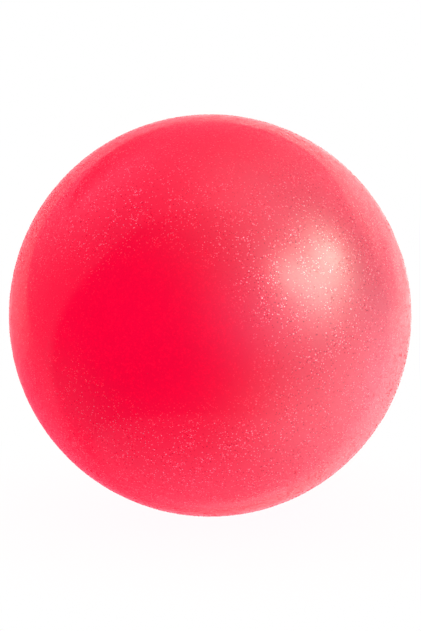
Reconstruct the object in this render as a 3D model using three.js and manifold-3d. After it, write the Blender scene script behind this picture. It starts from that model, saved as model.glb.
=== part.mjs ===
// Rhythmic gymnastics ball with its inflation valve, in millimetres, +Z up.
// The ball lies on the floor at z = 0 with its centre above the origin, and its valve points back, along +Y.
// A coloured hollow wall carries a clear skin with glitter in it. A soft bush sits in the wall like a grommet.
// The bush holds a soft needle core, and a pin plug closes both and pulls straight out.
import * as THREE from "three";
import { mergeVertices } from "three/addons/utils/BufferGeometryUtils.js";
import Module from "manifold-3d";

const wasm = await Module();
wasm.setup();

// Ball
const BALL_DIAMETER = 185;
const SKIN_THICKNESS = 0.6;
const WALL_THICKNESS = 2.7;
const REST_PATCH_DIAMETER = 22; // the flat that the ball's own weight presses into its underside

// Valve pad and bush
const PAD_DIAMETER = 27;
const PAD_DEPTH = 3.5; // how far the pad stands in from the inside of the wall
const COLLAR_DIAMETER = 15;
const COLLAR_THICKNESS = 2;
const NECK_DIAMETER = 11;
const FLANGE_DIAMETER = 22;
const FLANGE_THICKNESS = 2;
const WEB_THICKNESS = 2; // between the plug head's pocket and the core's pocket
const LIP_THICKNESS = 1.2; // the lip that holds the core in
const LIP_OPENING = 5;
const NAIL_NOTCH_DIAMETER = 3.2;
const EDGE_CHAMFER = 0.4;

// Needle core and plug
const CORE_DIAMETER = 7;
const CORE_LENGTH = 10;
const CORE_FUNNEL = 0.9; // the needle's lead-in, as wide as it is deep
const PIN_DIAMETER = 2.4;
const PIN_REACH = 1; // how far the pin shows past the core
const HEAD_DIAMETER = 8;
const HEAD_THICKNESS = 1.4;
const HEAD_FILLET = 0.5;
const HEAD_DIMPLE_DIAMETER = 2.4;
const HEAD_DIMPLE_DEPTH = 0.3;

// Clearances
const SEAT_GAP = 0.3; // between pieces that are bonded or seated
const PIN_CLEARANCE = 0.3; // all round the plug's pin and head
const MOUTH_RECESS = 0.2; // collar and plug head lie this far below the ball's surface

// Roundness
const BALL_SEGMENTS = 48;
const HALF_RINGS = 12; // from the equator up to the top, and down to the rest patch
const VALVE_SEGMENTS = 32;
const TIP_STEPS = 4;
const DOME_STEPS = 3;

// Layers of the ball, as radii from its centre
const ballRadius = BALL_DIAMETER / 2;
const skinInner = ballRadius - SKIN_THICKNESS;
const wallOuter = skinInner - SEAT_GAP;
const wallInner = wallOuter - WALL_THICKNESS;

// The rest patch: its height under the centre, and how far it presses every layer in
const centreHeight = Math.sqrt(ballRadius ** 2 - (REST_PATCH_DIAMETER / 2) ** 2);
const pressDepth = ballRadius - centreHeight;

// Radii about the valve's axis
const padRadius = PAD_DIAMETER / 2;
const collarRadius = COLLAR_DIAMETER / 2;
const neckRadius = NECK_DIAMETER / 2;
const flangeRadius = FLANGE_DIAMETER / 2;
const lipRadius = LIP_OPENING / 2;
const coreRadius = CORE_DIAMETER / 2;
const corePocketRadius = coreRadius + SEAT_GAP;
const pinRadius = PIN_DIAMETER / 2;
const channelRadius = pinRadius + PIN_CLEARANCE;
const headRadius = HEAD_DIAMETER / 2;
const headPocketRadius = headRadius + PIN_CLEARANCE;
const dimpleRadius = HEAD_DIMPLE_DIAMETER / 2;

// Heights along the valve's axis, from the ball's centre outwards
const mouthHeight = (radius) => Math.sqrt((ballRadius - MOUTH_RECESS) ** 2 - radius ** 2);
const collarSeat = mouthHeight(collarRadius) - COLLAR_THICKNESS;
const padFace = wallInner - PAD_DEPTH;
const flangeTop = padFace - SEAT_GAP;
const flangeBottom = flangeTop - FLANGE_THICKNESS;
const headBottom = mouthHeight(headRadius) - HEAD_THICKNESS;
const headPocketFloor = headBottom - SEAT_GAP;
const corePocketTop = headPocketFloor - WEB_THICKNESS;
const coreTop = corePocketTop - SEAT_GAP;
const coreBottom = coreTop - CORE_LENGTH;
const lipTop = coreBottom - SEAT_GAP;
const stemEnd = lipTop - LIP_THICKNESS;
const pinTip = coreBottom - PIN_REACH;

// A solid turned about Y from [radius, height] points. The outline starts and ends on the axis or closes on itself.
function turned(outline, segments) {
  return new THREE.LatheGeometry(
    outline.map(([radius, height]) => new THREE.Vector2(radius, height)),
    segments,
  );
}

// A closed geometry as a solid that can be joined and cut.
function solidOf(geometry) {
  const bare = geometry.clone();
  bare.deleteAttribute("normal");
  bare.deleteAttribute("uv");
  const merged = mergeVertices(bare);
  return new wasm.Manifold(
    new wasm.Mesh({
      numProp: 3,
      vertProperties: merged.attributes.position.array,
      triVerts: merged.index.array,
    }),
  );
}

// A solid as a geometry that can be drawn.
function geometryOf(solid) {
  const mesh = solid.getMesh();
  const geometry = new THREE.BufferGeometry();
  geometry.setAttribute("position", new THREE.BufferAttribute(mesh.vertProperties, 3));
  geometry.setIndex(new THREE.BufferAttribute(mesh.triVerts, 1));
  geometry.computeVertexNormals();
  return geometry;
}

// A full ball about the origin whose underside is pressed flat, as deep on every layer.
function pressedBall(radius) {
  const flatHeight = -(radius - pressDepth);
  const flatEdge = Math.asin(flatHeight / radius);
  const outline = [[0, flatHeight]];
  for (let ring = -HALF_RINGS; ring < HALF_RINGS; ring++) {
    const furthest = ring < 0 ? -flatEdge : Math.PI / 2;
    const latitude = furthest * (ring / HALF_RINGS);
    outline.push([radius * Math.cos(latitude), radius * Math.sin(latitude)]);
  }
  outline.push([0, radius]);
  return solidOf(turned(outline, BALL_SEGMENTS).rotateX(Math.PI / 2));
}

// A round bar along the valve's axis, between two heights.
function valveBar(radius, from, to) {
  const bar = new THREE.CylinderGeometry(radius, radius, to - from, VALVE_SEGMENTS);
  return solidOf(bar.translate(0, (from + to) / 2, 0));
}

// Points along the valve's domed mouth, from one radius to another.
function mouthArc(fromRadius, toRadius) {
  return Array.from({ length: DOME_STEPS + 1 }, (_, step) => {
    const radius = THREE.MathUtils.lerp(fromRadius, toRadius, step / DOME_STEPS);
    return [radius, mouthHeight(radius)];
  });
}

// The clear outer skin, open round the valve's collar.
function glitterSkin() {
  const mouth = valveBar(collarRadius + SEAT_GAP, 0, BALL_DIAMETER);
  return geometryOf(pressedBall(ballRadius).subtract(pressedBall(skinInner)).subtract(mouth));
}

// The coloured wall, with a thick pad inside it and a stepped hole through the pad for the bush.
function ballWall() {
  const pad = valveBar(padRadius, padFace, BALL_DIAMETER);
  const hollow = pressedBall(wallInner).subtract(pad);
  const neckHole = valveBar(neckRadius + SEAT_GAP, 0, BALL_DIAMETER);
  const collarHole = valveBar(collarRadius + SEAT_GAP, collarSeat - SEAT_GAP, BALL_DIAMETER);
  return geometryOf(pressedBall(wallOuter).subtract(hollow).subtract(neckHole).subtract(collarHole));
}

// The bush: a collar flush with the ball, a neck through the wall, a flange behind the pad and a stem for the core.
function valveBush() {
  const outline = [
    [headPocketRadius, headPocketFloor],
    [channelRadius + HEAD_FILLET, headPocketFloor],
    [channelRadius, headPocketFloor - HEAD_FILLET],
    [channelRadius, corePocketTop],
    [corePocketRadius, corePocketTop],
    [corePocketRadius, lipTop],
    [lipRadius, lipTop],
    [lipRadius, stemEnd],
    [neckRadius - EDGE_CHAMFER, stemEnd],
    [neckRadius, stemEnd + EDGE_CHAMFER],
    [neckRadius, flangeBottom],
    [flangeRadius - EDGE_CHAMFER, flangeBottom],
    [flangeRadius, flangeBottom + EDGE_CHAMFER],
    [flangeRadius, flangeTop],
    [neckRadius, flangeTop],
    [neckRadius, collarSeat],
    [collarRadius, collarSeat],
    ...mouthArc(collarRadius, headPocketRadius),
    [headPocketRadius, headPocketFloor],
  ];
  const nailNotch = valveBar(NAIL_NOTCH_DIAMETER / 2, headPocketFloor, BALL_DIAMETER);
  const notchAtTop = nailNotch.translate([0, 0, headPocketRadius]);
  return geometryOf(solidOf(turned(outline, VALVE_SEGMENTS)).subtract(notchAtTop));
}

// The needle core: a soft ring with a funnel that leads the needle into its channel.
function valveCore() {
  const outline = [
    [channelRadius, coreBottom],
    [coreRadius, coreBottom],
    [coreRadius, coreTop],
    [channelRadius + CORE_FUNNEL, coreTop],
    [channelRadius, coreTop - CORE_FUNNEL],
    [channelRadius, coreBottom],
  ];
  return turned(outline, VALVE_SEGMENTS);
}

// The plug: a round-nosed pin under a domed head with a dimple.
function valvePlug() {
  const nose = Array.from({ length: TIP_STEPS + 1 }, (_, step) => {
    const turn = (step / TIP_STEPS) * (Math.PI / 2);
    return [pinRadius * Math.sin(turn), pinTip + pinRadius * (1 - Math.cos(turn))];
  });
  const outline = [
    ...nose,
    [pinRadius, headBottom - HEAD_FILLET],
    [pinRadius + HEAD_FILLET, headBottom],
    [headRadius, headBottom],
    ...mouthArc(headRadius, dimpleRadius),
    [0, mouthHeight(0) - HEAD_DIMPLE_DEPTH],
  ];
  return turned(outline, VALVE_SEGMENTS);
}

// Finishes
const coralVinyl = new THREE.MeshStandardMaterial({ color: 0xfa0a3c, roughness: 0.4, metalness: 0 });
const clearGlitter = new THREE.MeshStandardMaterial({ color: 0xfb3a5c, roughness: 0.12, metalness: 0.1 });
const softVinyl = new THREE.MeshStandardMaterial({ color: 0xf4ece6, roughness: 0.45, metalness: 0 });
const gumRubber = new THREE.MeshStandardMaterial({ color: 0xc9a46c, roughness: 0.6, metalness: 0 });
const whitePlastic = new THREE.MeshStandardMaterial({ color: 0xf8f8f6, roughness: 0.3, metalness: 0 });

function piece(name, geometry, material) {
  const mesh = new THREE.Mesh(geometry, material);
  mesh.name = name;
  return mesh;
}

const valve = new THREE.Group();
valve.add(
  piece("valve_bush", valveBush(), softVinyl),
  piece("valve_core", valveCore(), gumRubber),
  piece("valve_plug", valvePlug(), whitePlastic),
);

const ball = new THREE.Group();
ball.position.z = centreHeight;
ball.add(
  piece("glitter_skin", glitterSkin(), clearGlitter),
  piece("ball_wall", ballWall(), coralVinyl),
  valve,
);

const gymnasticsBall = new THREE.Group();
gymnasticsBall.add(ball);

export default gymnasticsBall;
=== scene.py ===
# Rhythmic gymnastics ball: the looks of a glossy coral ball full of fine glitter, and of its inflation valve.
# Laid out as an add-on. The ball's centre is above the origin, and the valve points back, along +Y. Metres.
import math

import bmesh
import bpy
from bpy.props import FloatProperty, FloatVectorProperty, IntProperty, PointerProperty
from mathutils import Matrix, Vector


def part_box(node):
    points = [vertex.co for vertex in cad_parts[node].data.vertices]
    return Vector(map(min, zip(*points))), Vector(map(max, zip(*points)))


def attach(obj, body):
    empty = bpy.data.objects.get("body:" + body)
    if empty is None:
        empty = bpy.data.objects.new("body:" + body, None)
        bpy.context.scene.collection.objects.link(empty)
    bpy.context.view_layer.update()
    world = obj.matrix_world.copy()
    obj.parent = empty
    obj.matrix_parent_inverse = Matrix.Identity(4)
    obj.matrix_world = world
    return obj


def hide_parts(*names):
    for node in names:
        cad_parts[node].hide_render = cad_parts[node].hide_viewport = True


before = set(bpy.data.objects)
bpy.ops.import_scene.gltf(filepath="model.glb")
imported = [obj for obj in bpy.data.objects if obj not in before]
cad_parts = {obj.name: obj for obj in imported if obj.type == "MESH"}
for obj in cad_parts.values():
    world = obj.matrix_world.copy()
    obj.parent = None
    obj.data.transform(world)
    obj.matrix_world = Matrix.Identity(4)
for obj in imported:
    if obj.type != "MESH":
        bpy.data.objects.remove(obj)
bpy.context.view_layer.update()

bl_info = {
    "name": "Rhythmic Gymnastics Ball",
    "version": (1, 0, 0),
    "blender": (4, 5, 0),
    "location": "3D View > Sidebar > Gym Ball",
    "description": "Glitter ball with its inflation valve, built around a packed CAD frame",
    "category": "Add Mesh",
}

# What the frame says
SKIN_LOW, SKIN_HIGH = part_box("glitter_skin")
BUSH_LOW, BUSH_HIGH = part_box("valve_bush")
CORE_LOW, CORE_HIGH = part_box("valve_core")
PLUG_LOW, PLUG_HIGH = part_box("valve_plug")
BALL_RADIUS = (SKIN_HIGH.x - SKIN_LOW.x) / 2
CENTRE_HEIGHT = SKIN_HIGH.z - BALL_RADIUS
BALL_CENTRE = Vector((0, 0, CENTRE_HEIGHT))
REST_PATCH_RADIUS = math.sqrt(BALL_RADIUS**2 - CENTRE_HEIGHT**2)

IMAGE_HEIGHT_PX = 631
OUTLINE_RADIUS_PX = 201.1
OUTLINE_LEFT_OF_MIDDLE_PX = 0.4
FULL_TURN = 2 * math.pi

# How closely the skin's rings crowd at the valve's mouth, how near points are joined, which bends are sharp
RING_CROWDING = 1.5
SKIN_JOIN = 0.000002
SKIN_SHARP_BEND = math.radians(50)
VALVE_JOIN = 0.000001
VALVE_SLIVER = 0.0000001
VALVE_SHARP_BEND = math.radians(40)
CORNER_BEND = math.radians(25)

# Noise at which flakes are sparse and dense, how much of its cell in the map of colours a flake fills, and
# how far apart the batches' seeds are
CLUMP_NOISE = (0.35, 0.62)
CELL_FILL = 0.7
SEEDS_PER_BATCH = 100

# Shine fades towards the rim of the ball as it is seen, so that the outline never burns out. The fade starts
# and ends at these two, from 0 straight on to 1 at the rim, and this share of the gloss is left.
FADE_START = 0.25
FADE_END = 0.85
RIM_GLOSS = 0.13
# The surround behind the ball is brighter to make up for that, as the camera at the front meets it.
MAKE_UP_START = 0.225
MAKE_UP_END = 0.84
MAKE_UP_SHARE = 0.8 * RIM_GLOSS

# The gloss has a slight wave in it. The coral under it has a haze and leaning, dust-fine glitter.
COAT_ROUGHNESS = 0.06
COAT_IOR = 1.5
WAVE_WIDTH = 0.03
WAVE_DEPTH = 0.0002
HAZE_LEVEL = 0.03
DUST_PER_METRE = 2400.0
DUST_LEAN = 0.25

# Noise mostly lies between these two. It makes the skin's patches, the wall's grain and the valve's clouds.
NOISE_RANGE = (0.3, 0.7)
PATCH_WIDTH = 0.025
SKIN_ROUGHNESS = (0.3, 0.36)
WALL_GRAIN_WIDTH = 0.004
WALL_GRAIN_DEPTH = 0.00005
WALL_ROUGHNESS = (0.38, 0.5)
CLOUD_WIDTH = 0.003
ROUGHNESS_SPREAD = 0.06

FLAKE_ROUGHNESS = 0.28
FLAKE_IOR = 3.5
# Share of the flakes that are dull: painted darker, with less gloss, as painted shade of flakes that catch no
# light
DULL_SHARE = 0.42
# How strong the painted glint, a pale colour, is on the least pale of the shining flakes,
# and how much the others sparkle from this tint on
LEAST_PAINTED_GLINT = 0.4
SPARKLE_FROM = 0.6
SPARKLE = (0.8, 1.7)
# How much painted glint, a pale colour, the shining flakes get and how silvery they are at the ball's left
# and right, and how much of the gloss the dull ones lack
PAINTED_GLINT_LEFT_RIGHT = (1.0, 0.4)
SILVER_LEFT_RIGHT = (0.43, 0.125)
DULL_LEFT_RIGHT = (0.85, 0.4)
# Left and right as shares of the ball's radius, and how far the line between them leans, as width for height
LEFT_RIGHT = (-0.5, 0.7)
LEFT_RIGHT_LEAN = 0.18
# The flakes' painted glint, painted shade and shine are turned down towards the ball's ends: two places as
# shares of the ball's radius, and the share of their shine at each of the two
ENDS_ACROSS = ((-0.98, -0.6, 0.15, 1.0), (0.7, 0.98, 1.0, 0.35))
ENDS_UP = ((-0.95, -0.55, 0.3, 1.0), (0.6, 0.95, 1.0, 0.2))
# Other spots where the flakes' painted glint, painted shade and shine are turned down: turn from the front
# to the right and elevation in degrees, inner and outer radius as shares of the ball's, and the share of
# their shine that is left
GLINT_AND_SHADE_SPOTS = (
    (-14, 5, 0.3, 0.54, 0.03),
    (4, 42, 0.1, 0.45, 0.7),
    (5, -8, 0.1, 0.34, 0.25),
    (-46, 6, 0.12, 0.42, 0.15),
)

# Patches of light that the gloss shows: turn from the front to the right and elevation in degrees, then level
# and sharpness
KEY_GLOWS = (
    (83, 35, 0.8, 100),
    (84, 27, 2.7, 100),
    (85, 28, 3.8, 28),
    (48, 27, 3.1, 70),
    (66, 22, 6.3, 22),
    (60, 14, 0.9, 30),
    (75, 8, 0.5, 25),
)
ROOM_GLOWS = (
    (56, 16, 3.7, 6),
    (98, -23, 2.75, 5),
    (56, -44, 1.16, 10),
    (120, 35, 0.74, 8),
    (65, 67, 1.48, 6),
)
FRONT_GLOWS = (
    (22, 6, 0.4, 9),
)
BACK_GLOWS = (
    (-121, 43, 0.57, 9),
    (0, -90, 0.57, 7),
    (-100, -34, 0.21, 13),
)

# Soft straight edges in the surround: the direction that each one faces, and where it starts and stops
ACROSS = (1.0, 0.0, 0.0)
BACK = (0.0, 1.0, 0.0)
UP = (0.0, 0.0, 1.0)
CEILING_EDGE = ((0.0, 0.99, 0.15), -0.25, -0.13)
SIDE_EDGE = ((0.01, 0.84, 0.55), -0.06, 0.08)
TABLE_SHADE_EDGE = (UP, -0.62, -0.45)
TABLE_EDGE = (UP, -0.78, -0.7)
BEHIND_EDGE = (BACK, 0.4, 0.65)
FAR_LEFT_EDGE = (ACROSS, -0.25, 0.05)
CARD_EDGE = ((-0.45, -0.57, 0.69), -0.03, 0.03)
CARD_TOP_EDGE = ((-0.05, 0.0, 1.0), 0.43, 0.48)
CARD_RIGHT_EDGE = ((0.65, -0.63, 0.43), -0.04, 0.08)
CARD_LIT_ACROSS = (ACROSS, -0.25, 0.3)
CARD_LIT_UP = (UP, -0.35, -0.1)
RIGHT_GAP_LOW = (UP, -0.09, -0.04)
RIGHT_GAP_HIGH = (UP, 0.12, 0.3)
TOP_GAP_LOW = (UP, 0.42, 0.47)
TOP_GAP_HIGH = (UP, 0.5, 0.85)
TOP_GAP_RIGHT = (ACROSS, -0.4, -0.05)

# Levels of the surround and the card, the light left in the table's shade, and what the dark parts take away
SURROUND_LEVEL = 0.213
TABLE_LEVEL = 0.2
TABLE_SHADE = 0.6
FAR_LEFT_LOSS = 0.7
CARD_ACROSS_LEVEL = 0.56
CARD_UP_LEVEL = 0.38
RIGHT_GAP_LOSS = 0.8
TOP_GAP_LOSS = 0.7

# Fill lights that light surfaces evenly and leave the gloss alone, as turn, elevation and level
FILLS = (
    (150, 30, 0.6),
    (-60, 8, 0.58),
    (-95, 60, 0.5),
    (-20, -60, 0.67),
    (-145, -35, 0.78),
    (58, -4, 0.455),
    (30, 60, 0.33),
    (120, -40, 0.21),
)

# The valve's recess gets painted shade, since the fill lamps throw no shadow: its colour is darkened to this
# share
PAINTED_RECESS_SHADE = 0.35
RECESS_EDGE = 0.0005
VALVE_DEPTH = 0.02

# The floor is less white near the ball, where the shadow shows
FLOOR_WHITE = 0.85
FLOOR_SEGMENTS = 96
SHADOW_INNER = 0.02
SHADOW_OUTER = 0.17
SHADOW_WHITENESS = 0.6


def length(name, description, default):
    """A size in metres that a user can change."""
    return FloatProperty(name=name, description=description, default=default, precision=5, unit="LENGTH")


def share(name, description, default):
    """A plain number that a user can change."""
    return FloatProperty(name=name, description=description, default=default, precision=4)


def angle(name, description, degrees):
    """An angle that a user can change."""
    return FloatProperty(name=name, description=description, default=math.radians(degrees), subtype="ANGLE")


def colour(name, description, default):
    """A linear colour that a user can change."""
    return FloatVectorProperty(
        name=name, description=description, default=default, size=3, min=0, max=1, subtype="COLOR"
    )


class SkinSizes(bpy.types.PropertyGroup):
    """Sizes of the ball's outer skin"""

    radius: length("Radius", "Radius of the inflated ball", BALL_RADIUS)
    centre_height: length("Centre Height", "Height of the ball's centre over the floor", CENTRE_HEIGHT)
    thickness: length("Thickness", "Thickness of the skin", 0.0006)
    mouth_radius: length("Mouth Radius", "Radius of the round opening for the valve's collar", 0.0078)
    mouth_round: length("Mouth Round", "Rounding of the opening's edge", 0.0004)
    press_softness: length("Press Softness", "How gently the skin bends into the patch it rests on", 0.0004)
    segments: IntProperty(name="Segments", description="Faces round the valve's axis", default=240, min=24)
    rings: IntProperty(name="Rings", description="Faces from the valve to the front", default=150, min=12)


class GlitterSizes(bpy.types.PropertyGroup):
    """Sizes of the silver flakes in the skin"""

    batches: IntProperty(name="Batches", description="Pieces that share the flakes", default=5, min=1)
    count: IntProperty(name="Count", description="Flakes strewn in one batch, before clumping", default=24000)
    diameter: length("Diameter", "Width of a six-sided flake", 0.00037)
    depth: length("Depth", "How deep a flake's root reaches into the skin", 0.0001)
    lift: length("Lift", "How far a flake's middle lies over the skin", 0.00005)
    spread: share("Size Spread", "How much flakes differ in size, as a share", 0.6)
    tilt: angle("Tilt", "Usual lean of a flake from the skin", 7)
    clump_size: length("Clump Size", "Width of the areas with more or fewer flakes", 0.006)
    clump_strength: share("Clump Strength", "How strongly flakes gather, from 0 to 1", 0.75)
    clear_of_floor: length("Clear of Floor", "Bare ring round the patch that the ball rests on", 0.003)
    seed: IntProperty(name="Seed", description="Start of the random draws", default=7)


class ValveSizes(bpy.types.PropertyGroup):
    """Sizes of the inflation valve"""

    recess: length("Recess", "How far the collar and the plug lie below the ball's surface", 0.0002)
    collar_radius: length("Collar Radius", "Radius of the bush's collar", 0.0075)
    collar_thickness: length("Collar Thickness", "Thickness of the bush's collar", 0.002)
    neck_radius: length("Neck Radius", "Radius of the bush's neck and stem", 0.0055)
    flange_radius: length("Flange Radius", "Radius of the flange inside the ball", BUSH_HIGH.x)
    flange_top: length("Flange Top", "Flange's outer face, from the ball's centre", 0.0851)
    flange_thickness: length("Flange Thickness", "Thickness of the flange", 0.002)
    web_thickness: length("Web Thickness", "Web between the plug's pocket and the core's", 0.002)
    lip_radius: length("Lip Radius", "Radius of the opening behind the core", 0.0025)
    notch_radius: length("Notch Radius", "Radius of the finger-nail notch", 0.0016)
    gap: length("Gap", "Clearance all round the plug and the core", 0.0003)
    pin_radius: length("Pin Radius", "Radius of the plug's pin", 0.0012)
    head_thickness: length("Head Thickness", "Thickness of the plug's head at its rim", 0.0014)
    head_fillet: length("Head Fillet", "Fillet between pin and head", 0.0005)
    dimple_radius: length("Dimple Radius", "Radius of the dimple in the plug's head", 0.0012)
    dimple_depth: length("Dimple Depth", "Depth of the dimple in the plug's head", 0.0003)
    funnel: length("Funnel", "Width and depth of the needle's lead-in", 0.0009)
    edge_round: length("Edge Round", "Rounding of the moulded edges", 0.00025)
    segments: IntProperty(name="Segments", description="Faces round the valve's axis", default=192, min=24)


class Finishes(bpy.types.PropertyGroup):
    """Colours of the ball and its valve"""

    coral: colour("Coral", "Coral vinyl of the ball", (0.955, 0.0010, 0.043))
    coral_deep: colour("Deep Coral", "Slightly deeper patches in the coral", (0.93, 0.0007, 0.038))
    haze: colour("Haze", "Tint that the coral gives to light from below the gloss", (1.0, 0.45, 0.8))
    silver: colour("Silver", "Tint of the light that flakes throw back", (0.92, 0.8, 1.0))
    # The rose colour is the flakes' coral where their painted glint and painted shade are turned down.
    glitter_rose: colour("Glitter Rose", "Shining flakes that lie deep in the coral", (1.0, 0.001, 0.044))
    # The pale colour is a painted glint, standing in for light that the shining flakes catch.
    glitter_painted_glint: colour("Glitter Pale", "Shining flakes near the surface", (1.0, 0.09, 0.15))
    # The darker colour of the dull flakes is painted shade, as flakes look that catch no light.
    glitter_dull: colour("Glitter Dull", "Dull flakes, which lie darker in the coral", (0.56, 0.001, 0.029))
    soft_vinyl: colour("Soft Vinyl", "Milky vinyl of the valve's bush", (0.78, 0.72, 0.66))
    gum_rubber: colour("Gum Rubber", "Tan rubber of the needle core", (0.5, 0.3, 0.12))
    plug_plastic: colour("Plug Plastic", "White plastic of the plug", (0.82, 0.82, 0.8))


class StudioSettings(bpy.types.PropertyGroup):
    """Camera and lights of the studio"""

    lens: FloatProperty(name="Lens", description="Focal length in millimetres", default=100)
    camera_elevation: angle("Camera Elevation", "Height of the camera's view over the horizon", 9)
    key_level: share("Key Level", "Strength of the key light in the gloss", 1)
    fill_level: share("Fill Level", "Strength of the fill lights", 0.94)
    even_level: share("Even Level", "Soft light on every side of the ball, where 1 is white", 0.08)
    key_colour: colour("Key Colour", "Warm light of the key", (1.0, 0.98, 0.76))
    room_colour: colour("Room Colour", "Light of the lit side of the room", (1.0, 0.92, 1.0))
    front_colour: colour("Front Colour", "Faint cool light in front of the ball", (0.3, 0.1, 1.0))
    back_colour: colour("Back Colour", "Cool light of the surround behind the ball", (1.0, 0.7, 1.0))
    card_colour: colour("Card Colour", "White card that the ball tints red from close by", (1.0, 0.57, 0.45))
    floor_radius: length("Floor Radius", "Radius of the floor", 6)


class GymBallSettings(bpy.types.PropertyGroup):
    """Everything that a user would change on the ball"""

    skin: PointerProperty(type=SkinSizes)
    glitter: PointerProperty(type=GlitterSizes)
    valve: PointerProperty(type=ValveSizes)
    finishes: PointerProperty(type=Finishes)
    studio: PointerProperty(type=StudioSettings)


class Nodes:
    """A node tree under construction. Values are numbers, or sockets to link."""

    def __init__(self, tree):
        self.tree = tree

    def feed(self, socket, value):
        if isinstance(value, bpy.types.NodeSocket):
            self.tree.links.new(value, socket)
        else:
            socket.default_value = value

    def add(self, kind, inputs=None, **settings):
        node = self.tree.nodes.new(kind)
        for name, value in settings.items():
            setattr(node, name, value)
        for key, value in (inputs or {}).items():
            self.feed(node.inputs[key], value)
        return node

    def math(self, operation, *values):
        node = self.add("ShaderNodeMath", dict(enumerate(values)), operation=operation)
        return node.outputs[0]

    def product(self, first, *others):
        for other in others:
            first = self.math("MULTIPLY", first, other)
        return first

    def vector(self, operation, *values):
        node = self.add("ShaderNodeVectorMath", dict(enumerate(values)), operation=operation)
        single = operation in ("DOT_PRODUCT", "LENGTH", "DISTANCE")
        return node.outputs["Value" if single else "Vector"]

    def scaled(self, vector, scale):
        node = self.add("ShaderNodeVectorMath", {0: vector, "Scale": scale}, operation="SCALE")
        return node.outputs["Vector"]

    def join_xyz(self, x, y, z):
        return self.add("ShaderNodeCombineXYZ", {0: x, 1: y, 2: z}).outputs[0]

    def split_xyz(self, vector):
        return self.add("ShaderNodeSeparateXYZ", {0: vector}).outputs

    def ramp(self, value, low, high, from_value, to_value):
        """A soft step from one value to another as value goes from low to high."""
        node = self.add(
            "ShaderNodeMapRange",
            {"Value": value, "From Min": low, "From Max": high, "To Min": from_value, "To Max": to_value},
            interpolation_type="SMOOTHSTEP",
        )
        return node.outputs["Result"]

    def mix_colour(self, factor, first, second):
        node = self.add("ShaderNodeMix", {0: factor}, data_type="RGBA")
        self.feed(node.inputs[6], first)
        self.feed(node.inputs[7], second)
        return node.outputs[2]

    def joined(self, geometry):
        """The geometry with points that lie on each other made one."""
        return self.add("GeometryNodeMergeByDistance", {0: geometry, "Distance": SKIN_JOIN}).outputs[0]

    def store(self, geometry, name, value, kind, domain):
        """The geometry with a value stored in it under a name."""
        node = self.add(
            "GeometryNodeStoreNamedAttribute",
            {"Geometry": geometry, "Name": name, "Value": value},
            data_type=kind,
            domain=domain,
        )
        return node.outputs[0]

    def stored(self, name, kind):
        """A value that was stored in the geometry under a name."""
        return self.add("GeometryNodeInputNamedAttribute", {"Name": name}, data_type=kind).outputs[0]

    def random(self, low, high, seed, kind="FLOAT"):
        """A random number or vector for each point."""
        first, output = {"FLOAT": (2, 1), "FLOAT_VECTOR": (0, 0)}[kind]
        node = self.add("FunctionNodeRandomValue", {first: low, first + 1: high, 8: seed}, data_type=kind)
        return node.outputs[output]


def geometry_tree(name, lengths, counts):
    """A new geometry node tree with named inputs: lengths and other numbers, counts, and the material."""
    tree = bpy.data.node_groups.new(name, "GeometryNodeTree")
    tree.is_modifier = True
    for kind, names in (
        ("NodeSocketFloat", lengths),
        ("NodeSocketInt", counts),
        ("NodeSocketMaterial", ["Material"]),
    ):
        for socket_name in names:
            tree.interface.new_socket(name=socket_name, in_out="INPUT", socket_type=kind)
    tree.interface.new_socket(name="Geometry", in_out="OUTPUT", socket_type="NodeSocketGeometry")
    return tree, Nodes(tree)


def object_from_tree(name, tree, values):
    """A mesh object at the origin with what the tree makes from these values, with no modifier left on it."""
    piece = bpy.data.objects.new(name, bpy.data.meshes.new(name))
    bpy.context.scene.collection.objects.link(piece)
    modifier = piece.modifiers.new("shape", "NODES")
    modifier.node_group = tree
    for item in tree.interface.items_tree:
        if item.in_out == "INPUT":
            modifier[item.identifier] = values[item.name]
    depsgraph = bpy.context.evaluated_depsgraph_get()
    evaluated = piece.evaluated_get(depsgraph)
    mesh = bpy.data.meshes.new_from_object(evaluated, preserve_all_data_layers=True, depsgraph=depsgraph)
    piece.modifiers.clear()
    piece.data = mesh
    mesh.name = name
    if not mesh.polygons:
        raise RuntimeError(f"{name} has no faces")
    return piece


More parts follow.
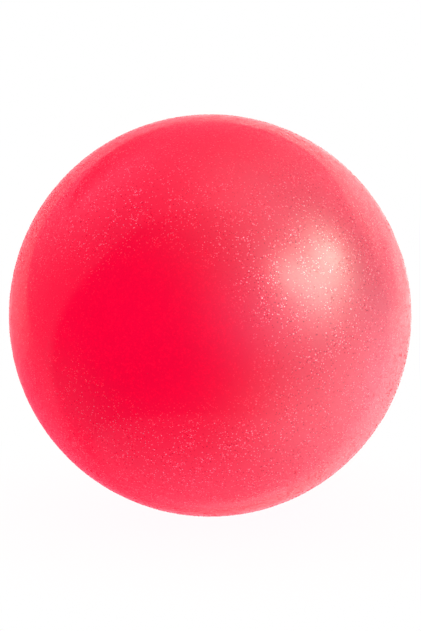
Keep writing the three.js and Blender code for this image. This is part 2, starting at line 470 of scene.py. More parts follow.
def skin_tree():
    """The ball's skin: a grid wrapped round the valve's axis, pressed flat where it rests, and thickened."""
    tree, nodes = geometry_tree(
        "ball_skin",
        ["Radius", "Centre Height", "Thickness", "Mouth Radius", "Mouth Round", "Press Softness"],
        ["Segments", "Rings"],
    )
    given = nodes.add("NodeGroupInput").outputs
    radius, rounding = given["Radius"], given["Mouth Round"]
    grid = nodes.add(
        "GeometryNodeMeshGrid",
        {
            "Size X": 1.0,
            "Size Y": 1.0,
            "Vertices X": nodes.math("ADD", given["Segments"], 1.0),
            "Vertices Y": nodes.math("ADD", given["Rings"], 1.0),
        },
    )
    across, along, _ = nodes.split_xyz(nodes.add("GeometryNodeInputPosition").outputs[0])
    turn = nodes.product(nodes.math("ADD", across, 0.5), FULL_TURN)
    # Rings lie closer together towards the valve's mouth.
    way = nodes.math("POWER", nodes.math("ADD", along, 0.5), RING_CROWDING)
    mouth_angle = nodes.math("ARCSINE", nodes.math("DIVIDE", given["Mouth Radius"], radius))
    sweep = nodes.product(way, nodes.math("SUBTRACT", math.pi, mouth_angle))
    # The mouth's edge falls away on a quarter round.
    from_edge = nodes.math("DIVIDE", nodes.product(sweep, radius), rounding)
    into_round = nodes.math("MAXIMUM", nodes.math("SUBTRACT", 1.0, from_edge), 0.0)
    rise = nodes.math("SQRT", nodes.math("SUBTRACT", 1.0, nodes.product(into_round, into_round)))
    drop = nodes.product(rounding, nodes.math("SUBTRACT", 1.0, rise))
    reach = nodes.math("SUBTRACT", radius, drop)
    polar = nodes.math("ADD", mouth_angle, sweep)
    ring = nodes.product(reach, nodes.math("SINE", polar))
    side = nodes.product(ring, nodes.math("COSINE", turn))
    back = nodes.product(reach, nodes.math("COSINE", polar))
    height = nodes.product(ring, nodes.math("SINE", turn))
    floor = nodes.product(given["Centre Height"], -1.0)
    pressed = nodes.math("SMOOTH_MAX", height, floor, given["Press Softness"])
    place = nodes.join_xyz(side, back, nodes.math("ADD", pressed, given["Centre Height"]))
    wrapped = nodes.add("GeometryNodeSetPosition", {"Geometry": grid.outputs["Mesh"], "Position": place})
    outer = nodes.joined(wrapped.outputs[0])
    inner = nodes.add(
        "GeometryNodeExtrudeMesh",
        {
            "Mesh": outer,
            "Offset Scale": nodes.product(given["Thickness"], -1.0),
            "Individual": False,
        },
        mode="FACES",
    )
    turned_in = nodes.add("GeometryNodeFlipFaces", {0: inner.outputs["Mesh"]}).outputs[0]
    both = nodes.add("GeometryNodeJoinGeometry")
    nodes.feed(both.inputs[0], outer)
    nodes.feed(both.inputs[0], turned_in)
    shell = nodes.joined(both.outputs[0])
    bend = nodes.add("GeometryNodeInputMeshEdgeAngle").outputs[0]
    sharp = nodes.math("GREATER_THAN", bend, SKIN_SHARP_BEND)
    crisp = nodes.add(
        "GeometryNodeSetShadeSmooth",
        {"Geometry": shell, "Selection": sharp, "Shade Smooth": False},
        domain="EDGE",
    )
    whole = nodes.add("GeometryNodeRealizeInstances", {0: crisp.outputs[0]})
    dressed = nodes.add("GeometryNodeSetMaterial", {0: whole.outputs[0], "Material": given["Material"]})
    nodes.add("NodeGroupOutput", {0: dressed.outputs[0]})
    return tree


def glitter_tree():
    """Six-sided flakes strewn over the ball in loose clumps, each with a lean of its own."""
    tree, nodes = geometry_tree(
        "glitter_flakes",
        [
            "Radius",
            "Centre Height",
            "Mouth Radius",
            "Patch Radius",
            "Diameter",
            "Depth",
            "Size Spread",
            "Tilt",
            "Clump Size",
            "Clump Strength",
        ],
        ["Count", "Seed"],
    )
    given = nodes.add("NodeGroupInput").outputs

    def draw(number):
        return nodes.math("ADD", given["Seed"], float(number))

    # Points spread evenly over the ball: a random turn about the upright axis, at a random height.
    turn = nodes.random(0.0, FULL_TURN, draw(1))
    level = nodes.random(-1.0, 1.0, draw(2))
    ring = nodes.math("SQRT", nodes.math("SUBTRACT", 1.0, nodes.product(level, level)))
    side = nodes.product(ring, nodes.math("COSINE", turn))
    back = nodes.product(ring, nodes.math("SINE", turn))
    centre = nodes.join_xyz(0.0, 0.0, given["Centre Height"])
    outward = nodes.scaled(nodes.join_xyz(side, back, level), given["Radius"])
    strewn = nodes.add(
        "GeometryNodePoints", {"Count": given["Count"], "Position": nodes.vector("ADD", outward, centre)}
    )
    # Flakes are left out at the valve, under the ball, and in the thin areas between clumps.
    place = nodes.add("GeometryNodeInputPosition").outputs[0]
    from_centre = nodes.vector("SUBTRACT", place, centre)
    x, y, z = nodes.split_xyz(from_centre)
    off_valve = nodes.vector("LENGTH", nodes.join_xyz(x, 0.0, z))
    off_patch = nodes.vector("LENGTH", nodes.join_xyz(x, y, 0.0))
    at_valve = nodes.product(
        nodes.math("LESS_THAN", off_valve, given["Mouth Radius"]), nodes.math("GREATER_THAN", y, 0.0)
    )
    at_patch = nodes.product(
        nodes.math("LESS_THAN", off_patch, given["Patch Radius"]), nodes.math("LESS_THAN", z, 0.0)
    )
    clumps = nodes.add(
        "ShaderNodeTexNoise",
        {"Vector": place, "Scale": nodes.math("DIVIDE", 1.0, given["Clump Size"]), "Detail": 2.0},
    ).outputs[0]
    thin = nodes.ramp(clumps, *CLUMP_NOISE, 1.0, 0.0)
    gathered = nodes.product(thin, given["Clump Strength"])
    sparse = nodes.math("LESS_THAN", nodes.random(0.0, 1.0, draw(3)), gathered)
    left_out = nodes.math("MAXIMUM", nodes.math("MAXIMUM", at_valve, at_patch), sparse)
    kept = nodes.add(
        "GeometryNodeDeleteGeometry", {"Geometry": strewn.outputs[0], "Selection": left_out}, domain="POINT"
    )
    # One flake: a flat hexagon on a short root, with its own flat place kept for the map of its colour.
    cone = nodes.add(
        "GeometryNodeMeshCone",
        {
            "Vertices": 6,
            "Radius Top": nodes.math("DIVIDE", given["Diameter"], 2.0),
            "Radius Bottom": 0.0,
            "Depth": given["Depth"],
        },
        fill_type="NGON",
    )
    root_down = nodes.join_xyz(0.0, 0.0, nodes.product(given["Depth"], -1.0))
    flake = nodes.add("GeometryNodeTransform", {"Geometry": cone.outputs[0], "Translation": root_down})
    own_place = nodes.scaled(
        nodes.add("GeometryNodeInputPosition").outputs[0], nodes.math("DIVIDE", CELL_FILL, given["Diameter"])
    )
    flat_flake = nodes.add(
        "GeometryNodeSetShadeSmooth", {"Geometry": flake.outputs[0], "Shade Smooth": False}, domain="FACE"
    )
    marked = nodes.store(flat_flake.outputs[0], "own_place", own_place, "FLOAT_VECTOR", "POINT")
    # Three random vectors add up to a lean that is mostly small.
    wobble = (0, 0, 0)
    for lean_draw in (4, 5, 6):
        push = nodes.random((-1, -1, -1), (1, 1, 1), draw(lean_draw), "FLOAT_VECTOR")
        wobble = nodes.vector("ADD", wobble, push)
    facing = nodes.vector("ADD", nodes.vector("NORMALIZE", from_centre), nodes.scaled(wobble, given["Tilt"]))
    leaning = nodes.add("FunctionNodeAlignRotationToVector", {"Vector": facing}, axis="Z")
    spin = nodes.add(
        "FunctionNodeAxisAngleToRotation", {"Axis": (0, 0, 1), "Angle": nodes.random(0.0, FULL_TURN, draw(7))}
    )
    spun = nodes.add(
        "FunctionNodeRotateRotation",
        {"Rotation": leaning.outputs[0], "Rotate By": spin.outputs[0]},
        rotation_space="LOCAL",
    )
    smallest = nodes.math("SUBTRACT", 1.0, given["Size Spread"])
    largest = nodes.math("ADD", 1.0, given["Size Spread"])
    size = nodes.random(smallest, largest, draw(8))
    placed = nodes.add(
        "GeometryNodeInstanceOnPoints",
        {
            "Points": kept.outputs[0],
            "Instance": marked,
            "Rotation": spun.outputs[0],
            "Scale": nodes.join_xyz(size, size, size),
        },
    )
    tint = nodes.random(0.0, 1.0, draw(9))
    tinted = nodes.store(placed.outputs[0], "flake_tint", tint, "FLOAT", "INSTANCE")
    index = nodes.add("GeometryNodeInputIndex").outputs[0]
    numbered = nodes.store(tinted, "flake_number", index, "FLOAT", "INSTANCE")
    real = nodes.add("GeometryNodeRealizeInstances", {0: numbered})
    # Each flake has a cell of its own in a square map.
    number = nodes.stored("flake_number", "FLOAT")
    spot = nodes.stored("own_place", "FLOAT_VECTOR")
    cells = nodes.math("CEIL", nodes.math("SQRT", given["Count"]))
    column = nodes.math("FLOORED_MODULO", number, cells)
    row = nodes.math("FLOOR", nodes.math("DIVIDE", number, cells))
    corner = nodes.join_xyz(nodes.math("ADD", column, 0.5), nodes.math("ADD", row, 0.5), 0.0)
    map_place = nodes.scaled(nodes.vector("ADD", corner, spot), nodes.math("DIVIDE", 1.0, cells))
    cleaned = nodes.store(real.outputs[0], "OFBake", map_place, "FLOAT2", "CORNER")
    for spare in ("own_place", "flake_number"):
        cleaned = nodes.add("GeometryNodeRemoveAttribute", {"Geometry": cleaned, "Name": spare}).outputs[0]
    dressed = nodes.add("GeometryNodeSetMaterial", {0: cleaned, "Material": given["Material"]})
    nodes.add("NodeGroupOutput", {0: dressed.outputs[0]})
    return tree


def rounded(outline, radius, steps=3):
    """A closed outline whose sharp corners are rounded off. Like outlines get the same number of points."""
    points = [Vector(point) for point in outline]
    result = []
    for index, here in enumerate(points):
        before = points[index - 1] - here
        after = points[(index + 1) % len(points)] - here
        if math.pi - before.angle(after) < CORNER_BEND:
            result.append(here)
            continue
        start = here + before.normalized() * min(radius, before.length / 2)
        end = here + after.normalized() * min(radius, after.length / 2)
        for step in range(steps + 1):
            way = step / steps
            result.append(start.lerp(here, way).lerp(here.lerp(end, way), way))
    return result


def turned_object(name, outline_at, segments, finish):
    """A piece turned about the valve's axis. outline_at gives its closed outline at a turn."""
    shape = bmesh.new()
    rings = []
    for step in range(segments):
        turn = FULL_TURN * step / segments
        rings.append(
            [
                shape.verts.new((reach * math.sin(turn), height, CENTRE_HEIGHT + reach * math.cos(turn)))
                for reach, height in outline_at(turn)
            ]
        )
    for step, ring in enumerate(rings):
        following = rings[(step + 1) % segments]
        for here in range(len(ring)):
            there = (here + 1) % len(ring)
            shape.faces.new((ring[here], ring[there], following[there], following[here]))
    bmesh.ops.remove_doubles(shape, verts=shape.verts, dist=VALVE_JOIN)
    bmesh.ops.dissolve_degenerate(shape, edges=shape.edges, dist=VALVE_SLIVER)
    bmesh.ops.recalc_face_normals(shape, faces=shape.faces)
    mesh = bpy.data.meshes.new(name)
    shape.to_mesh(mesh)
    shape.free()
    mesh.shade_smooth()
    mesh.set_sharp_from_angle(angle=VALVE_SHARP_BEND)
    mesh.materials.append(finish)
    piece = bpy.data.objects.new(name, mesh)
    bpy.context.scene.collection.objects.link(piece)
    return piece


def mouth_height(reach, sizes):
    """Height of the valve's domed mouth over the ball's centre, at a distance from the valve's axis."""
    return math.sqrt((BALL_RADIUS - sizes.recess) ** 2 - reach**2)


def mouth_arc(start, end, sizes, steps=6):
    """Points along the valve's domed mouth, from one distance to another."""
    reaches = [start + (end - start) * step / steps for step in range(steps + 1)]
    return [(reach, mouth_height(reach, sizes)) for reach in reaches]


def direction(turn, elevation):
    """A direction from the ball: a turn from the front to the right, and an elevation over the horizon."""
    flat = math.cos(elevation)
    return Vector((math.sin(turn) * flat, -math.cos(turn) * flat, math.sin(elevation)))


def direction_in_degrees(turn, elevation):
    return direction(math.radians(turn), math.radians(elevation))


def material(name):
    """A new node material and the nodes of its tree, with one Principled shader."""
    made = bpy.data.materials.new(name)
    made.use_nodes = True
    nodes = Nodes(made.node_tree)
    shader = made.node_tree.nodes["Principled BSDF"]
    return made, nodes, shader


def object_place(nodes):
    return nodes.add("ShaderNodeTexCoord").outputs["Object"]


def noise(nodes, place, size, detail=2.0):
    """Soft noise from 0 to 1 with patches about as wide as size, in metres."""
    return nodes.add("ShaderNodeTexNoise", {"Vector": place, "Scale": 1 / size, "Detail": detail}).outputs[0]


def bump(nodes, height, distance, facing=None):
    """Relief on the piece's own surface, or on one that faces another way."""
    inputs = {"Height": height, "Distance": distance, "Strength": 1.0}
    if facing is not None:
        inputs["Normal"] = facing
    return nodes.add("ShaderNodeBump", inputs).outputs[0]


def opaque(rgb):
    return (*rgb, 1.0)


def outward_way(nodes, place):
    """The direction straight out from the ball's centre."""
    return nodes.vector("NORMALIZE", nodes.vector("SUBTRACT", place, tuple(BALL_CENTRE)))


def rim_fade(nodes, place, left):
    """A share that fades towards the rim of the ball as it is seen, from 1 to what is left there."""
    facing = nodes.add("ShaderNodeLayerWeight", {"Blend": 0.5, "Normal": outward_way(nodes, place)})
    return nodes.ramp(facing.outputs["Facing"], FADE_START, FADE_END, 1.0, left)


def gloss_coat(nodes, shader, place, strength=1.0):
    """The clear gloss over everything on the ball: one smooth round surface with a slight wave in it."""
    wave = bump(nodes, noise(nodes, place, WAVE_WIDTH), WAVE_DEPTH, outward_way(nodes, place))
    nodes.feed(shader.inputs["Coat Normal"], wave)
    nodes.feed(shader.inputs["Coat Weight"], nodes.product(rim_fade(nodes, place, RIM_GLOSS), strength))
    shader.inputs["Coat Roughness"].default_value = COAT_ROUGHNESS
    shader.inputs["Coat IOR"].default_value = COAT_IOR


def coral_skin_material(finishes):
    """Coral vinyl with dust-fine glitter in it, under a clear gloss."""
    made, nodes, shader = material("coral_glitter_skin")
    place = object_place(nodes)
    patches = noise(nodes, place, PATCH_WIDTH)
    nodes.feed(
        shader.inputs["Base Color"],
        nodes.mix_colour(patches, opaque(finishes.coral), opaque(finishes.coral_deep)),
    )
    # Dust-fine glitter: every cell leans its own way.
    cell = nodes.add("ShaderNodeTexVoronoi", {"Vector": place, "Scale": DUST_PER_METRE}).outputs["Color"]
    lean = nodes.scaled(nodes.vector("SUBTRACT", cell, (0.5, 0.5, 0.5)), DUST_LEAN)
    upright = nodes.add("ShaderNodeNewGeometry").outputs["Normal"]
    nodes.feed(shader.inputs["Normal"], nodes.vector("NORMALIZE", nodes.vector("ADD", upright, lean)))
    nodes.feed(shader.inputs["Roughness"], nodes.ramp(patches, *NOISE_RANGE, *SKIN_ROUGHNESS))
    nodes.feed(shader.inputs["Specular IOR Level"], nodes.product(rim_fade(nodes, place, 0.0), HAZE_LEVEL))
    shader.inputs["Specular Tint"].default_value = opaque(finishes.haze)
    gloss_coat(nodes, shader, place)
    return made


def flake_material(finishes):
    """Silvery flakes, coral where their painted glint is turned down and pale where it shows,
    with dull ones among them painted darker as painted shade.
    """
    made, nodes, shader = material("silver_glitter")
    place = object_place(nodes)
    tint = nodes.add("ShaderNodeAttribute", attribute_name="flake_tint").outputs["Fac"]
    shining = nodes.math("GREATER_THAN", tint, DULL_SHARE)
    # Painted glint, painted shade and shine are turned down by place: towards the ball's ends and round some
    # spots.
    side, _, height = nodes.split_xyz(nodes.vector("SUBTRACT", place, tuple(BALL_CENTRE)))
    glint_and_shade_by_place = 1.0
    for along, ends in ((side, ENDS_ACROSS), (height, ENDS_UP)):
        for low, high, at_low, at_high in ends:
            end = nodes.ramp(along, low * BALL_RADIUS, high * BALL_RADIUS, at_low, at_high)
            glint_and_shade_by_place = nodes.product(end, glint_and_shade_by_place)
    for turn, elevation, inner, outer, left in GLINT_AND_SHADE_SPOTS:
        spot = BALL_CENTRE + direction_in_degrees(turn, elevation) * BALL_RADIUS
        off_spot = nodes.vector("DISTANCE", place, tuple(spot))
        deep = nodes.ramp(off_spot, inner * BALL_RADIUS, outer * BALL_RADIUS, left, 1.0)
        glint_and_shade_by_place = nodes.product(glint_and_shade_by_place, deep)
    shine = nodes.product(glint_and_shade_by_place, shining)
    painted_shade_share = nodes.math("SUBTRACT", glint_and_shade_by_place, shine)
    # The pale colour of the shining flakes is a painted glint. It is less towards the right,
    # where the studio's own light makes the flakes shine.
    slant = nodes.math("ADD", side, nodes.product(height, LEFT_RIGHT_LEAN))
    left_end, right_end = LEFT_RIGHT
    rightward = nodes.ramp(slant, left_end * BALL_RADIUS, right_end * BALL_RADIUS, 0.0, 1.0)
    brightest = nodes.ramp(tint, DULL_SHARE, 1.0, LEAST_PAINTED_GLINT, 1.0)
    painted_glint = nodes.product(shine, brightest, nodes.ramp(rightward, 0.0, 1.0, *PAINTED_GLINT_LEFT_RIGHT))
    # Dull flakes are painted darker: painted shade of flakes that catch no light.
    body = nodes.mix_colour(painted_shade_share, opaque(finishes.glitter_rose), opaque(finishes.glitter_dull))
    nodes.feed(shader.inputs["Base Color"], nodes.mix_colour(painted_glint, body, opaque(finishes.glitter_painted_glint)))
    shader.inputs["Roughness"].default_value = FLAKE_ROUGHNESS
    shader.inputs["IOR"].default_value = FLAKE_IOR
    sparkle = nodes.ramp(tint, SPARKLE_FROM, 1.0, *SPARKLE)
    silvery = nodes.ramp(rightward, 0.0, 1.0, *SILVER_LEFT_RIGHT)
    level = nodes.product(shine, sparkle, rim_fade(nodes, place, 0.0), silvery)
    nodes.feed(shader.inputs["Specular IOR Level"], level)
    shader.inputs["Specular Tint"].default_value = opaque(finishes.silver)
    dullness = nodes.product(painted_shade_share, nodes.ramp(rightward, 0.0, 1.0, *DULL_LEFT_RIGHT))
    gloss_coat(nodes, shader, place, nodes.math("SUBTRACT", 1.0, dullness))
    return made


def wall_material(finishes):
    """Satin coral vinyl of the wall under the skin."""
    made, nodes, shader = material("coral_vinyl_wall")
    place = object_place(nodes)
    grain = noise(nodes, place, WALL_GRAIN_WIDTH, detail=4.0)
    nodes.feed(
        shader.inputs["Base Color"],
        nodes.mix_colour(grain, opaque(finishes.coral_deep), opaque(finishes.coral)),
    )
    nodes.feed(shader.inputs["Roughness"], nodes.ramp(grain, *NOISE_RANGE, *WALL_ROUGHNESS))
    nodes.feed(shader.inputs["Normal"], bump(nodes, grain, WALL_GRAIN_DEPTH))
    return made


def moulded_material(name, rgb, roughness, grain_size, grain_depth, shade, recess=None):
    """A moulded piece: one colour with a soft cloud in it, and a fine grain in its surface.

    Recess gives the depths under the ball's surface between which the piece's colour is darkened as painted
    shade.
    """
    made, nodes, shader = material(name)
    place = object_place(nodes)
    cloud = noise(nodes, place, CLOUD_WIDTH)
    grain = noise(nodes, place, grain_size, detail=3.0)
    deeper = opaque(channel * shade for channel in rgb)
    base = nodes.mix_colour(nodes.ramp(cloud, *NOISE_RANGE, 0.0, 1.0), opaque(rgb), deeper)
    # Painted shade: the colour is darker between the recess's two depths under the ball's surface.
    if recess:
        start, end = recess
        reach = nodes.vector("LENGTH", nodes.vector("SUBTRACT", place, tuple(BALL_CENTRE)))
        depth = nodes.math("SUBTRACT", BALL_RADIUS, reach)
        painted_shade_mask = nodes.product(
            nodes.ramp(depth, start, start + RECESS_EDGE, 0.0, 1.0),
            nodes.ramp(depth, end, end + RECESS_EDGE, 1.0, 0.0),
        )
        painted_shade_colour = opaque(channel * PAINTED_RECESS_SHADE for channel in rgb)
        base = nodes.mix_colour(painted_shade_mask, base, painted_shade_colour)
    nodes.feed(shader.inputs["Base Color"], base)
    smoothest = roughness - ROUGHNESS_SPREAD
    roughest = roughness + ROUGHNESS_SPREAD
    nodes.feed(shader.inputs["Roughness"], nodes.ramp(grain, *NOISE_RANGE, smoothest, roughest))
    nodes.feed(shader.inputs["Normal"], bump(nodes, grain, grain_depth))
    return made


class SkinOperator(bpy.types.Operator):
    """Wraps the glossy coral skin round the ball"""

    bl_idname = "gym_ball.skin"
    bl_label = "Coral Skin"

    def execute(self, context):
        settings = context.scene.gym_ball
        sizes = settings.skin
        piece = object_from_tree(
            "coral_glitter_skin",
            skin_tree(),
            {
                "Radius": sizes.radius,
                "Centre Height": sizes.centre_height,
                "Thickness": sizes.thickness,
                "Mouth Radius": sizes.mouth_radius,
                "Mouth Round": sizes.mouth_round,
                "Press Softness": sizes.press_softness,
                "Segments": sizes.segments,
                "Rings": sizes.rings,
                "Material": coral_skin_material(settings.finishes),
            },
        )
        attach(piece, "ball")
        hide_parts("glitter_skin")
        return {"FINISHED"}


class GlitterOperator(bpy.types.Operator):
    """Strews silver flakes over the skin"""

    bl_idname = "gym_ball.glitter"
    bl_label = "Silver Glitter"

    def execute(self, context):
        settings = context.scene.gym_ball
        sizes = settings.glitter
        skin = settings.skin
        tree = glitter_tree()
        silver = flake_material(settings.finishes)
        for batch in range(sizes.batches):
            piece = object_from_tree(
                f"silver_glitter_{batch + 1}",
                tree,
                {
                    "Count": sizes.count,
                    "Seed": sizes.seed + SEEDS_PER_BATCH * batch,
                    "Radius": skin.radius + sizes.lift,
                    "Centre Height": skin.centre_height,
                    "Mouth Radius": skin.mouth_radius + skin.mouth_round,
                    "Patch Radius": REST_PATCH_RADIUS + sizes.clear_of_floor,
                    "Diameter": sizes.diameter,
                    "Depth": sizes.depth,
                    "Size Spread": sizes.spread,
                    "Tilt": sizes.tilt,
                    "Clump Size": sizes.clump_size,
                    "Clump Strength": sizes.clump_strength,
                    "Material": silver,
                },
            )
            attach(piece, "ball")
        return {"FINISHED"}


class WallOperator(bpy.types.Operator):
    """Gives the hollow wall under the skin its satin coral finish"""

    bl_idname = "gym_ball.wall"
    bl_label = "Coral Wall"

    def execute(self, context):
        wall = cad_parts["ball_wall"]
        wall.data.materials.clear()
        wall.data.materials.append(wall_material(context.scene.gym_ball.finishes))
        return {"FINISHED"}


class BushOperator(bpy.types.Operator):
    """Turns the soft bush that holds the valve in the wall"""

    bl_idname = "gym_ball.bush"
    bl_label = "Valve Bush"

    def execute(self, context):
        settings = context.scene.gym_ball
        sizes = settings.valve
        pocket_radius = PLUG_HIGH.x + sizes.gap
        pocket_floor = mouth_height(PLUG_HIGH.x, sizes) - sizes.head_thickness - sizes.gap
        channel_radius = sizes.pin_radius + sizes.gap
        core_pocket = CORE_HIGH.x + sizes.gap
        core_pocket_top = pocket_floor - sizes.web_thickness
        lip_top = CORE_LOW.y - sizes.gap
        collar_seat = mouth_height(sizes.collar_radius, sizes) - sizes.collar_thickness
        flange_bottom = sizes.flange_top - sizes.flange_thickness

        def pocket_edge(turn):
            """The plug's pocket, which the finger-nail notch widens at the top."""
            across = pocket_radius * math.sin(turn)
            inside = sizes.notch_radius**2 - across**2
            if inside < 0 or math.cos(turn) < 0:
                return pocket_radius
            return max(pocket_radius, pocket_radius * math.cos(turn) + math.sqrt(inside))

        def outline_at(turn):
            edge = pocket_edge(turn)
            outline = [
                (edge, pocket_floor),
                (channel_radius + sizes.head_fillet, pocket_floor),
                (channel_radius, pocket_floor - sizes.head_fillet),
                (channel_radius, core_pocket_top),
                (core_pocket, core_pocket_top),
                (core_pocket, lip_top),
                (sizes.lip_radius, lip_top),
                (sizes.lip_radius, BUSH_LOW.y),
                (sizes.neck_radius, BUSH_LOW.y),
                (sizes.neck_radius, flange_bottom),
                (sizes.flange_radius, flange_bottom),
                (sizes.flange_radius, sizes.flange_top),
                (sizes.neck_radius, sizes.flange_top),
                (sizes.neck_radius, collar_seat),
                (sizes.collar_radius, collar_seat),
                *mouth_arc(sizes.collar_radius, edge, sizes),
            ]
            return rounded(outline, sizes.edge_round)

        # Below the mouth, the bush's pocket and everything deeper get painted shade.
        vinyl = moulded_material(
            "milky_soft_vinyl",
            settings.finishes.soft_vinyl,
            roughness=0.42,
            grain_size=0.0004,
            grain_depth=0.00001,
            shade=0.94,
            recess=(sizes.recess, VALVE_DEPTH),
        )
        piece = turned_object("valve_bush_soft", outline_at, sizes.segments, vinyl)
        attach(piece, "ball")
        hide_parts("valve_bush")
        return {"FINISHED"}


class CoreOperator(bpy.types.Operator):
    """Turns the rubber core with its needle channel"""

    bl_idname = "gym_ball.core"
    bl_label = "Needle Core"

    def execute(self, context):
        settings = context.scene.gym_ball
        sizes = settings.valve
        channel_radius = sizes.pin_radius + sizes.gap
        outline = rounded(
            [
                (channel_radius, CORE_LOW.y),
                (CORE_HIGH.x, CORE_LOW.y),
                (CORE_HIGH.x, CORE_HIGH.y),
                (channel_radius + sizes.funnel, CORE_HIGH.y),
                (channel_radius, CORE_HIGH.y - sizes.funnel),
            ],
            sizes.edge_round,
        )
        rubber = moulded_material(
            "gum_rubber",
            settings.finishes.gum_rubber,
            roughness=0.62,
            grain_size=0.0003,
            grain_depth=0.00002,
            shade=0.85,
        )
        piece = turned_object("valve_core_rubber", lambda turn: outline, sizes.segments, rubber)
        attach(piece, "ball")
        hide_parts("valve_core")
        return {"FINISHED"}


class PlugOperator(bpy.types.Operator):
    """Turns the pin plug that closes the valve"""

    bl_idname = "gym_ball.plug"
    bl_label = "Pin Plug"

    def execute(self, context):
        settings = context.scene.gym_ball
        sizes = settings.valve
        head_bottom = mouth_height(PLUG_HIGH.x, sizes) - sizes.head_thickness
        nose_steps = 8
        nose = []
        for step in range(nose_steps + 1):
            turn = math.pi / 2 * step / nose_steps
            rise = sizes.pin_radius * (1 - math.cos(turn))
            nose.append((sizes.pin_radius * math.sin(turn), PLUG_LOW.y + rise))
        dimple_steps = 6
        dimple = []
        for step in range(1, dimple_steps + 1):
            way = 1 - step / dimple_steps
            sink = sizes.dimple_depth * math.cos(math.pi / 2 * way)
            dimple.append((sizes.dimple_radius * way, mouth_height(sizes.dimple_radius, sizes) - sink))
        outline = rounded(
            [
                *nose,
                (sizes.pin_radius, head_bottom - sizes.head_fillet),
                (sizes.pin_radius + sizes.head_fillet, head_bottom),
                (PLUG_HIGH.x, head_bottom),
                *mouth_arc(PLUG_HIGH.x, sizes.dimple_radius, sizes),
                *dimple,
            ],
            sizes.edge_round,
        )
        # The side of the plug's head is painted darker below its top, as painted shade in the gap round it;
        # the pin is not.
        plastic = moulded_material(
            "white_plug_plastic",
            settings.finishes.plug_plastic,
            roughness=0.26,
            grain_size=0.0006,
            grain_depth=0.000005,
            shade=0.96,
            recess=(sizes.recess, sizes.head_thickness),
        )
        piece = turned_object("valve_plug_pin", lambda turn: outline, sizes.segments, plastic)
        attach(piece, "plug")
        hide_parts("valve_plug")
        return {"FINISHED"}


def aimed(thing, place, target):
    """Puts a camera or lamp at a place and turns it to a target."""
    thing.location = place
    thing.rotation_euler = (target - place).to_track_quat("-Z", "Y").to_euler()


def make_camera(studio):
    """The camera, so far off that the ball's outline has its measured radius in the picture."""
    data = bpy.data.cameras.new("camera")
    data.lens = studio.lens
    focal_px = studio.lens / data.sensor_width * IMAGE_HEIGHT_PX
    half_view = math.atan(OUTLINE_RADIUS_PX / focal_px)
    distance = BALL_RADIUS / math.sin(half_view)
    target = BALL_CENTRE + Vector((OUTLINE_LEFT_OF_MIDDLE_PX / focal_px * distance, 0, 0))
    camera = bpy.data.objects.new("camera", data)
    bpy.context.scene.collection.objects.link(camera)
    aimed(camera, target + direction(0, studio.camera_elevation) * distance, target)
    bpy.context.scene.camera = camera


def make_fills(studio):
    """Even light for surfaces. These lamps throw no shadow and don't show in the gloss."""
    for number, (turn, elevation, level) in enumerate(FILLS, start=1):
        data = bpy.data.lights.new(f"fill_{number}", "SUN")
        data.energy = level * studio.fill_level * math.pi
        data.angle = 0
        data.use_shadow = False
        lamp = bpy.data.objects.new(f"fill_{number}", data)
        bpy.context.scene.collection.objects.link(lamp)
        lamp.visible_glossy = False
        aimed(lamp, BALL_CENTRE + direction_in_degrees(turn, elevation), BALL_CENTRE)


def glow_sum(nodes, way, glows):
    """Soft round patches of light in the surround, each brightest towards one direction."""
    total = 0.0
    for turn, elevation, level, sharpness in glows:
        towards = direction_in_degrees(turn, elevation)
        off = nodes.math("SUBTRACT", nodes.vector("DOT_PRODUCT", way, tuple(towards)), 1.0)
        fade = nodes.math("EXPONENT", nodes.product(off, sharpness))
        total = nodes.math("ADD", total, nodes.product(fade, level))
    return total


def past_edge(nodes, way, edge, before, after):
    """A level that changes across a soft straight edge in the surround."""
    facing, start, stop = edge
    return nodes.ramp(nodes.vector("DOT_PRODUCT", way, facing), start, stop, before, after)


def dim_surround(nodes, way, behind):
    """Level of the dim room behind the ball, which ends before it comes round to the front, over a table."""
    room = nodes.product(
        past_edge(nodes, way, CEILING_EDGE, 0.0, SURROUND_LEVEL),
        past_edge(nodes, way, SIDE_EDGE, 0.0, 1.0),
        past_edge(nodes, way, TABLE_SHADE_EDGE, TABLE_SHADE, 1.0),
    )
    far_left = nodes.product(behind, past_edge(nodes, way, FAR_LEFT_EDGE, FAR_LEFT_LOSS, 0.0))
    table = nodes.product(
        past_edge(nodes, way, TABLE_EDGE, TABLE_LEVEL, 0.0), nodes.math("SUBTRACT", 1.0, far_left)
    )
    # The left part of the card's top has a dark gap over it.
    gap = nodes.product(
        past_edge(nodes, way, TOP_GAP_LOW, 0.0, 1.0),
        past_edge(nodes, way, TOP_GAP_HIGH, TOP_GAP_LOSS, 0.0),
        past_edge(nodes, way, TOP_GAP_RIGHT, 1.0, 0.0),
        behind,
    )
    level = nodes.math("ADD", nodes.math("ADD", room, table), glow_sum(nodes, way, BACK_GLOWS))
    return nodes.product(level, nodes.math("SUBTRACT", 1.0, gap))


def white_card(nodes, way, behind):
    """Level of a card behind the ball. Its right half gets more light, and its right edge has a dark gap."""
    right_gap = nodes.product(
        past_edge(nodes, way, CARD_RIGHT_EDGE, 0.0, RIGHT_GAP_LOSS),
        past_edge(nodes, way, RIGHT_GAP_LOW, 0.0, 1.0),
        past_edge(nodes, way, RIGHT_GAP_HIGH, 1.0, 0.0),
    )
    lit_across = past_edge(nodes, way, CARD_LIT_ACROSS, 0.0, CARD_ACROSS_LEVEL)
    lit_up = past_edge(nodes, way, CARD_LIT_UP, 0.0, CARD_UP_LEVEL)
    return nodes.product(
        past_edge(nodes, way, CARD_EDGE, 1.0, 0.0),
        past_edge(nodes, way, CARD_TOP_EDGE, 1.0, 0.0),
        nodes.math("ADD", lit_across, lit_up),
        behind,
        nodes.math("SUBTRACT", 1.0, right_gap),
    )


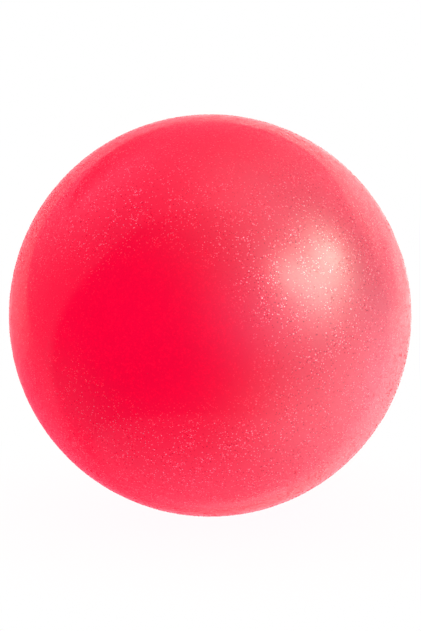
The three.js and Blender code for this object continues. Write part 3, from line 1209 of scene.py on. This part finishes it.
def make_surround(studio):
    """The studio: white to the camera, even light for surfaces, a bright key and a dim back for the gloss."""
    world = bpy.data.worlds.new("studio")
    bpy.context.scene.world = world
    world.use_nodes = True
    world.cycles.sampling_method = "NONE"
    nodes = Nodes(world.node_tree)
    way = nodes.add("ShaderNodeTexCoord").outputs["Generated"]
    behind = past_edge(nodes, way, BEHIND_EDGE, 0.0, 1.0)
    gloss = nodes.scaled(tuple(studio.card_colour), white_card(nodes, way, behind))
    for tint, level in (
        (studio.key_colour, nodes.product(glow_sum(nodes, way, KEY_GLOWS), studio.key_level)),
        (studio.room_colour, nodes.product(glow_sum(nodes, way, ROOM_GLOWS), studio.key_level)),
        (studio.front_colour, glow_sum(nodes, way, FRONT_GLOWS)),
        (studio.back_colour, dim_surround(nodes, way, behind)),
    ):
        gloss = nodes.vector("ADD", gloss, nodes.scaled(tuple(tint), level))
    # The gloss fades towards the rim, where it shows what lies behind the ball, so that is brighter.
    from_front = nodes.vector("DOT_PRODUCT", way, tuple(direction(0, studio.camera_elevation)))
    half_cosine = nodes.math("SQRT", nodes.product(nodes.math("ADD", from_front, 1.0), 0.5))
    flatness = nodes.math("SUBTRACT", 1.0, half_cosine)
    faded = nodes.ramp(flatness, MAKE_UP_START, MAKE_UP_END, 1.0, MAKE_UP_SHARE)
    gloss = nodes.scaled(gloss, nodes.math("DIVIDE", 1.0, faded))
    even = (studio.even_level, studio.even_level, studio.even_level, 1)
    path = nodes.add("ShaderNodeLightPath").outputs
    felt = nodes.mix_colour(path["Is Diffuse Ray"], gloss, even)
    seen = nodes.mix_colour(path["Is Camera Ray"], felt, (1, 1, 1, 1))
    nodes.feed(world.node_tree.nodes["Background"].inputs["Color"], seen)


def floor_material():
    """A plain white floor. To the camera it is white, with the ball's soft shadow near the ball."""
    made, nodes, shader = material("white_floor")
    shader.inputs["Base Color"].default_value = (FLOOR_WHITE, FLOOR_WHITE, FLOOR_WHITE, 1)
    shader.inputs["Roughness"].default_value = 1.0
    shader.inputs["Specular IOR Level"].default_value = 0.0
    path = nodes.add("ShaderNodeLightPath").outputs
    white = nodes.add("ShaderNodeEmission", {"Color": (1, 1, 1, 1), "Strength": 1.0})
    out_from_ball = nodes.vector("LENGTH", object_place(nodes))
    whiteness = nodes.ramp(out_from_ball, SHADOW_INNER, SHADOW_OUTER, SHADOW_WHITENESS, 1.0)
    blend = nodes.add("ShaderNodeMixShader", {0: nodes.product(whiteness, path["Is Camera Ray"])})
    nodes.feed(blend.inputs[1], shader.outputs[0])
    nodes.feed(blend.inputs[2], white.outputs[0])
    nodes.feed(made.node_tree.nodes["Material Output"].inputs["Surface"], blend.outputs[0])
    made.cycles.emission_sampling = "NONE"
    return made


class StageOperator(bpy.types.Operator):
    """Sets up the white floor, the studio lights and the camera"""

    bl_idname = "gym_ball.stage"
    bl_label = "Studio"

    def execute(self, context):
        studio = context.scene.gym_ball.studio
        shape = bmesh.new()
        bmesh.ops.create_circle(shape, cap_ends=True, segments=FLOOR_SEGMENTS, radius=studio.floor_radius)
        mesh = bpy.data.meshes.new("floor")
        shape.to_mesh(mesh)
        shape.free()
        mesh.materials.append(floor_material())
        floor = bpy.data.objects.new("floor", mesh)
        context.scene.collection.objects.link(floor)
        floor.visible_glossy = False
        floor.visible_diffuse = False
        make_surround(studio)
        make_fills(studio)
        make_camera(studio)
        context.scene.view_settings.view_transform = "Standard"
        return {"FINISHED"}


class GymBallPanel(bpy.types.Panel):
    """Lists the ball's sizes, finishes and makers in the sidebar"""

    bl_idname = "VIEW3D_PT_gym_ball"
    bl_label = "Gymnastics Ball"
    bl_space_type = "VIEW_3D"
    bl_region_type = "UI"
    bl_category = "Gym Ball"

    def draw(self, context):
        settings = context.scene.gym_ball
        for title, group in (
            ("Skin", settings.skin),
            ("Glitter", settings.glitter),
            ("Valve", settings.valve),
            ("Finishes", settings.finishes),
            ("Studio", settings.studio),
        ):
            box = self.layout.box()
            box.label(text=title)
            for name in group.__annotations__:
                box.prop(group, name)
        for operator in OPERATORS:
            self.layout.operator(operator.bl_idname)


OPERATORS = (
    StageOperator,
    SkinOperator,
    GlitterOperator,
    WallOperator,
    BushOperator,
    CoreOperator,
    PlugOperator,
)
CLASSES = (
    SkinSizes,
    GlitterSizes,
    ValveSizes,
    Finishes,
    StudioSettings,
    GymBallSettings,
    *OPERATORS,
    GymBallPanel,
)


def register():
    for made in CLASSES:
        bpy.utils.register_class(made)
    bpy.types.Scene.gym_ball = PointerProperty(type=GymBallSettings)


def unregister():
    del bpy.types.Scene.gym_ball
    for made in reversed(CLASSES):
        bpy.utils.unregister_class(made)


def main():
    """Registers the add-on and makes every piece."""
    register()
    bpy.ops.gym_ball.stage()
    bpy.ops.gym_ball.skin()
    bpy.ops.gym_ball.glitter()
    bpy.ops.gym_ball.wall()
    bpy.ops.gym_ball.bush()
    bpy.ops.gym_ball.core()
    bpy.ops.gym_ball.plug()


if __name__ == "__main__":
    main()
